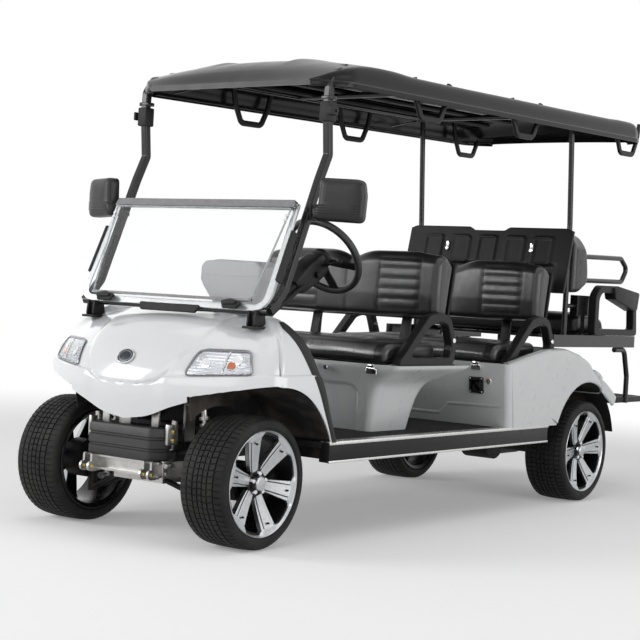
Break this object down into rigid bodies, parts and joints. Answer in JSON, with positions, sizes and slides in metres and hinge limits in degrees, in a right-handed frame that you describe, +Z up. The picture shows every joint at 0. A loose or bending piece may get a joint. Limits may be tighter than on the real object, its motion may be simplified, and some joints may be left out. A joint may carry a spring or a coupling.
{
  "type": "six-seat electric golf cart",
  "caption": "Electric golf cart with two forward bench rows, a rear-facing flip seat with footrest, long roof, folding windshield and steered front wheels.",
  "frame": {"origin": "floor under the middle of the cart's outline", "axes": "+X is the driver's left, -Y is the nose, +Z is up"},
  "size_m": [1.4854, 3.7179, 2.0239],
  "materials": {
    "white_shell": "gloss",
    "grey_shell": "satin gloss",
    "black_roof": "gloss",
    "black_plastic": "textured matte",
    "black_steel": "powder coat",
    "silver_steel": "satin",
    "leather": "grained",
    "clear": "clear acrylic",
    "lamp": "clear lens",
    "badge": "polished",
    "tyre": "matte",
    "rim": "machined",
    "mat": "ribbed"
  },
  "bodies": {
    "cart": {"arch_liners": "black_plastic", "armrests": "black_plastic", "back_frame_front": "black_plastic", "back_frame_mid": "black_plastic", "backrest_front": "leather", "backrest_mid": "leather", "backrest_rear": "leather", "badge": "badge", "battery": "black_plastic", "bumper": "black_plastic", "charge_socket": "black_plastic", "chassis_frame": "black_steel", "control_arms": "silver_steel", "cowl": "white_shell", "dash": "black_plastic", "dash_pod": "grey_shell", "floor": "mat", "foot_frame": "black_steel", "foot_plate": "black_plastic", "front_shocks": "silver_steel", "front_struts": "black_steel", "front_subframe": "silver_steel", "grab_handles": "black_plastic", "grab_loops": "black_steel", "headlights": "lamp", "mirrors": "black_plastic", "motor": "black_steel", "rack_housing": "silver_steel", "rear_armrests": "black_plastic", "rear_axle": "black_steel", "rear_body": "grey_shell", "rear_seat_frame": "black_steel", "rear_shell": "black_plastic", "rear_springs": "black_steel", "rear_struts": "black_steel", "rockers": "black_plastic", "roof": "black_roof", "roof_frame": "black_steel", "seat_pod_front": "grey_shell", "steering_column": "black_steel", "windshield": "clear", "windshield_trim": "black_plastic"},
    "knuckle_l": {"knuckle_left": "silver_steel"},
    "knuckle_r": {"knuckle_right": "silver_steel"},
    "wheel_fl": {"tyre_front_left": "tyre", "rim_front_left": "rim"},
    "wheel_fr": {"tyre_front_right": "tyre", "rim_front_right": "rim"},
    "wheel_rl": {"tyre_rear_left": "tyre", "rim_rear_left": "rim"},
    "wheel_rr": {"tyre_rear_right": "tyre", "rim_rear_right": "rim"},
    "rack": {"steering_rack": "silver_steel"},
    "steering": {"steering_wheel": "black_plastic"},
    "lid_front": {"cushion_front": "leather", "seat_lid_front": "black_plastic"},
    "lid_mid": {"cushion_mid": "leather", "seat_lid_mid": "black_plastic"},
    "flip_rear": {"cushion_rear": "leather", "seat_lid_rear": "black_plastic"}
  },
  "joints": [
    {"name": "steer_left", "type": "hinge", "parent": "cart", "child": "knuckle_l", "pos_m": [0.352, -1.604, 0.255], "axis": [0, 0, 1], "range_deg": [-25, 25]},
    {"name": "steer_right", "type": "hinge", "parent": "cart", "child": "knuckle_r", "pos_m": [-0.352, -1.604, 0.255], "axis": [0, 0, 1], "range_deg": [-26, 26]},
    {"name": "rack_slide", "type": "slide", "parent": "cart", "child": "rack", "axis": [-1, 0, 0], "range_m": [-0.04, 0.04]},
    {"name": "steering_turn", "type": "hinge", "parent": "cart", "child": "steering", "pos_m": [0.22, -0.868, 1.144], "axis": [0, 0.8191, 0.5736], "range_deg": [-340, 340]},
    {"name": "roll_fl", "type": "hinge", "parent": "knuckle_l", "child": "wheel_fl", "pos_m": [0.44, -1.604, 0.255], "axis": [1, 0, 0], "continuous": true},
    {"name": "roll_fr", "type": "hinge", "parent": "knuckle_r", "child": "wheel_fr", "pos_m": [-0.44, -1.604, 0.255], "axis": [1, 0, 0], "continuous": true},
    {"name": "roll_rl", "type": "hinge", "parent": "cart", "child": "wheel_rl", "pos_m": [0.498, 0.936, 0.255], "axis": [1, 0, 0], "continuous": true},
    {"name": "roll_rr", "type": "hinge", "parent": "cart", "child": "wheel_rr", "pos_m": [-0.498, 0.936, 0.255], "axis": [1, 0, 0], "continuous": true},
    {"name": "lid_front_tilt", "type": "hinge", "parent": "cart", "child": "lid_front", "pos_m": [0, -0.749, 0.7], "axis": [1, 0, 0], "range_deg": [0, 60]},
    {"name": "lid_mid_tilt", "type": "hinge", "parent": "cart", "child": "lid_mid", "pos_m": [0, 0.176, 0.7], "axis": [1, 0, 0], "range_deg": [0, 75]},
    {"name": "rear_flip", "type": "hinge", "parent": "cart", "child": "flip_rear", "pos_m": [0, 1.484, 0.862], "axis": [-1, 0, 0], "range_deg": [0, 180]}
  ],
  "couplings": [
    {"joint": "steer_right", "follows": "steer_left", "ratio": 1},
    {"joint": "rack_slide", "follows": "steer_left", "m_per_rad": 0.08717},
    {"joint": "steering_turn", "follows": "steer_left", "ratio": 13}
  ]
}
